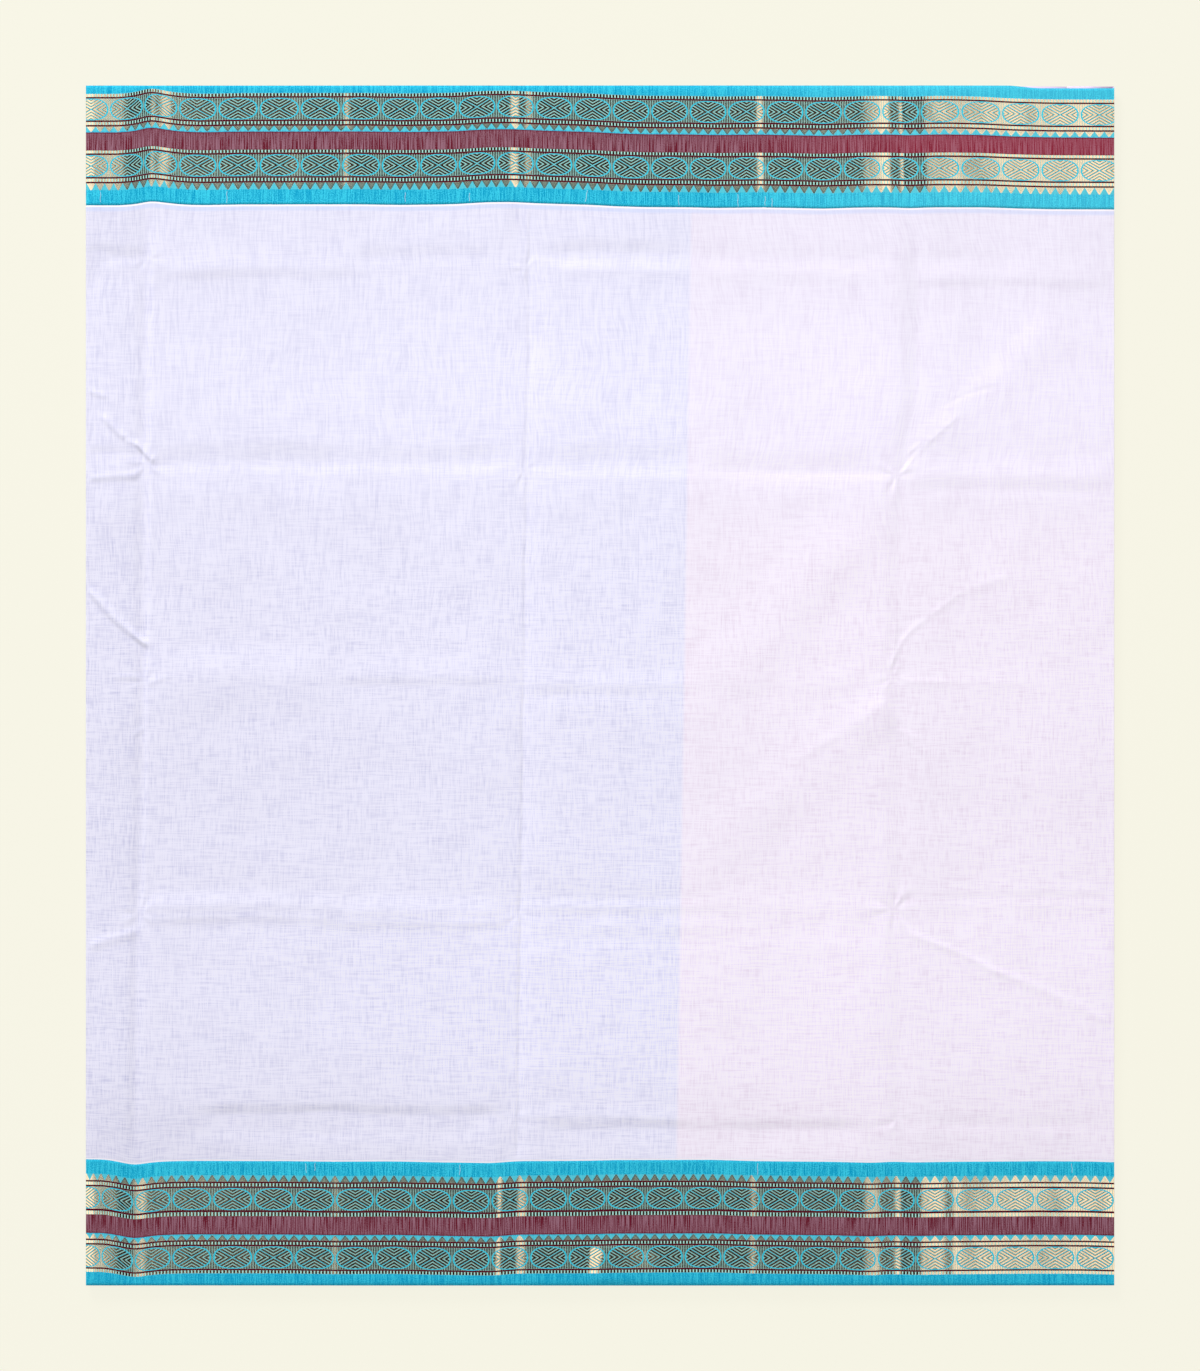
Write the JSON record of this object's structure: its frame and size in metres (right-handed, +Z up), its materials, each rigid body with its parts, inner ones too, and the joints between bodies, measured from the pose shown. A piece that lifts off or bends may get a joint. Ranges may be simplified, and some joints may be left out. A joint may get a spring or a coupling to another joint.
{
  "type": "folded saree",
  "caption": "Sheer saree with wide patterned borders, folded in layers and lying flat; drapes a table or shelf display.",
  "frame": {"origin": "on the surface that the saree lies on, under the middle of its box", "axes": "+X along the cloth's length, from the thick fold to the thin one; +Y across it, to the far selvedge; +Z up from the surface"},
  "size_m": [0.993, 1.158, 0.0134],
  "materials": {
    "field_cloth": "sheer plain weave, soft silk sheen",
    "border_cloth": "cyan and maroon weave with gold thread figures",
    "layer_cloth": "sheer plain weave with cyan selvedges"
  },
  "bodies": {
    "root": {"top_field": "field_cloth", "far_border": "border_cloth", "near_border": "border_cloth", "hidden_layers": "layer_cloth", "bottom_stretch": "layer_cloth"}
  },
  "joints": []
}
